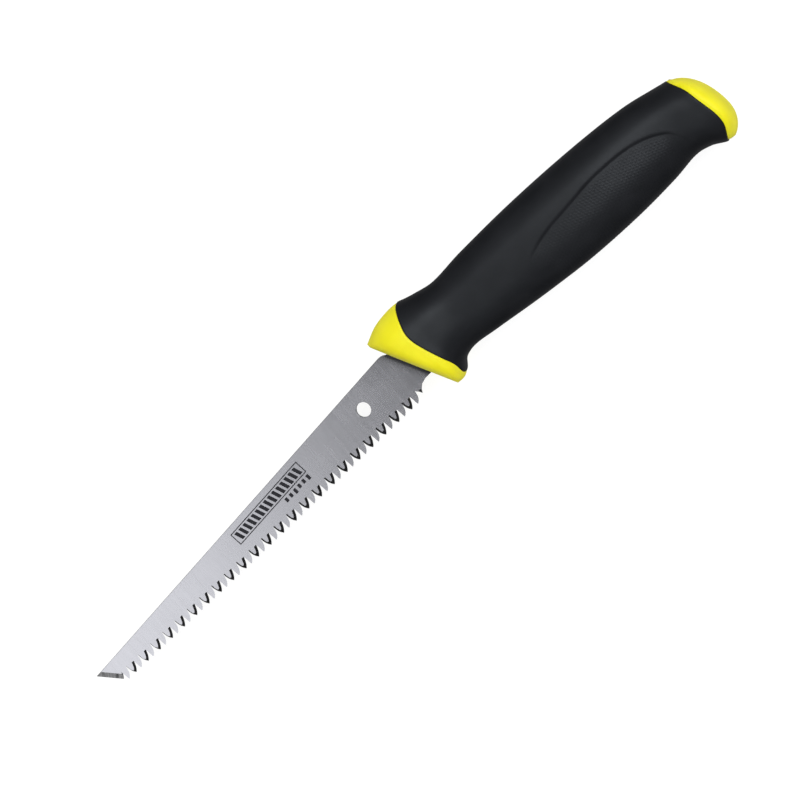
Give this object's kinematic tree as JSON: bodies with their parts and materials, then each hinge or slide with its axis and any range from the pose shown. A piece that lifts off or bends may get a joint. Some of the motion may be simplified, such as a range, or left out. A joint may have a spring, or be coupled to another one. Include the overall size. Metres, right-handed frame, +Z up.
{
  "type": "drywall saw",
  "caption": "Straight-handled drywall jab saw with a fixed tapered steel blade, plunge-cut point, yellow bolster and butt, and a black rubber grip.",
  "frame": {"origin": "under the middle of the saw's box, on the surface that it lies on", "axes": "+X towards the blade's tip, +Y towards the teeth, +Z up, at right angles to the blade's side"},
  "size_m": [0.2834, 0.033, 0.0251],
  "materials": {
    "blade_steel": "bright cross-ground sheet steel",
    "rivet_steel": "plain turned steel",
    "yellow_plastic": "lemon yellow moulded plastic, satin",
    "black_rubber": "matt black soft grip with a finely dotted finger panel",
    "mark_ink": null
  },
  "bodies": {
    "root": {"saw_blade": "blade_steel", "core_left": "yellow_plastic", "core_right": "yellow_plastic", "tang_rivet_front": "rivet_steel", "tang_rivet_rear": "rivet_steel", "grip_sleeve": "black_rubber", "butt_cap": "yellow_plastic"}
  },
  "joints": []
}
